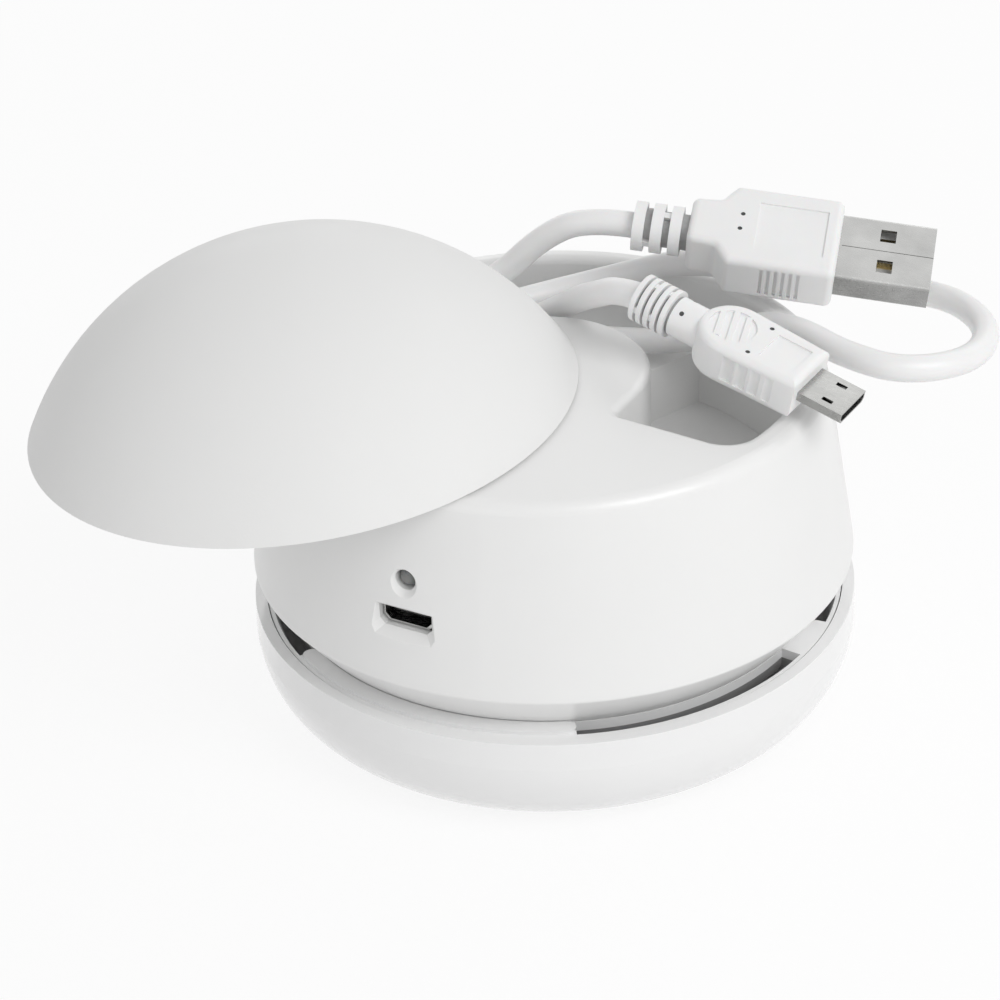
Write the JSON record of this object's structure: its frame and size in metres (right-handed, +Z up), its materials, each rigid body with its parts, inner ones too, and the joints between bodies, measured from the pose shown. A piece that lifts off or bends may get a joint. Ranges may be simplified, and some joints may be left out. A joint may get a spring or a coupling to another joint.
{
  "type": "desktop vacuum cleaner",
  "caption": "Small round desktop vacuum cleaner: tapered white body on a slotted vent ring and dish, swivelling domed lid over a store that holds its charging lead.",
  "frame": {"origin": "on the body's axis at the surface that the pads stand on", "axes": "+Z up along the body's axis, -Y towards the charging port and the indicator light, +X to the right seen from the port"},
  "size_m": [0.1245, 0.1071, 0.0743],
  "materials": {
    "housing_white": "fine satin moulded",
    "lid_white": "matte moulded",
    "ring_gloss": "gloss",
    "dish_gloss": "gloss",
    "tray_white": "satin moulded",
    "inner_plastic": "plain moulded",
    "washer_nylon": "natural nylon",
    "fan_plastic": "plain moulded",
    "filter_fabric": "fine mesh",
    "bristle": "nylon bristle",
    "pad_rubber": "matte",
    "gasket_rubber": "matte",
    "steel": "plain",
    "screw_steel": "zinc plated",
    "motor_steel": "drawn",
    "brass": "plain",
    "cell_wrap": "film wrap",
    "board": "solder mask",
    "component": "moulded",
    "black_plastic": "moulded",
    "connector_steel": "bright nickel",
    "connector_dark": "dark nickel",
    "contact_gold": "plated",
    "light_lens": "frosted clear",
    "slider_grey": "moulded",
    "lead_white": "soft satin",
    "lead_white_hard": "satin",
    "cord_white": "satin sheath"
  },
  "bodies": {
    "housing": {"upper_housing": "housing_white", "vent_ring": "ring_gloss", "base_dish": "dish_gloss", "base_pads": "pad_rubber", "chassis_plate": "inner_plastic", "filter_frame": "inner_plastic", "filter_mesh": "filter_fabric", "filter_gasket": "gasket_rubber", "fan_cover": "inner_plastic", "motor_can": "motor_steel", "motor_endcap": "inner_plastic", "motor_bushes": "brass", "motor_terminals": "brass", "battery_cell": "cell_wrap", "battery_cradle": "inner_plastic", "circuit_board": "board", "board_components": "component", "usb_port_shell": "connector_steel", "usb_port_tongue": "black_plastic", "charge_light": "light_lens", "light_legs": "steel", "switch_body": "black_plastic", "housing_screws": "screw_steel", "dish_screws": "screw_steel", "cover_screws": "screw_steel", "motor_screws": "screw_steel", "board_screws": "screw_steel"},
    "lid": {"lid_dome": "lid_white", "lid_thrust_washer": "washer_nylon", "lid_spring_washer": "steel", "lid_pivot_screw": "screw_steel"},
    "tray": {"dust_tray": "tray_white", "brush_ring": "inner_plastic", "brush_tufts": "bristle"},
    "rotor": {"impeller": "fan_plastic", "motor_shaft": "steel"},
    "switch": {"switch_slider": "slider_grey"},
    "lead": {"usb_a_overmould": "lead_white", "usb_a_strain_relief": "lead_white", "usb_a_shell": "connector_steel", "usb_a_tongue": "lead_white_hard", "usb_a_contacts": "contact_gold", "micro_b_overmould": "lead_white", "micro_b_strain_relief": "lead_white", "micro_b_shell": "connector_dark", "micro_b_tongue": "black_plastic", "usb_cord": "cord_white"}
  },
  "joints": [
    {"name": "lid_swivel", "type": "hinge", "parent": "housing", "child": "lid", "pos_m": [0, -0.0286, 0.05293], "axis": [0, -0.0681, 0.9977], "range_deg": [-76.8, 0]},
    {"name": "lead_lift", "type": "slide", "parent": "housing", "child": "lead", "axis": [0, 0, 1], "range_m": [0, 0.0601], "deforming": ["usb_cord"]},
    {"name": "tray_twist", "type": "hinge", "parent": "housing", "child": "tray", "pos_m": [0, 0, 0.0028], "axis": [0, 0, 1], "range_deg": [0, 25]},
    {"name": "rotor_spin", "type": "hinge", "parent": "housing", "child": "rotor", "pos_m": [0, 0, 0.025], "axis": [0, 0, 1], "continuous": true},
    {"name": "switch_slide", "type": "slide", "parent": "housing", "child": "switch", "axis": [-0.9397, -0.342, 0], "range_m": [0, 0.003]}
  ],
  "couplings": [
    {"joint": "lead_lift", "follows": "lid_swivel", "m_per_rad": -0.044762}
  ]
}
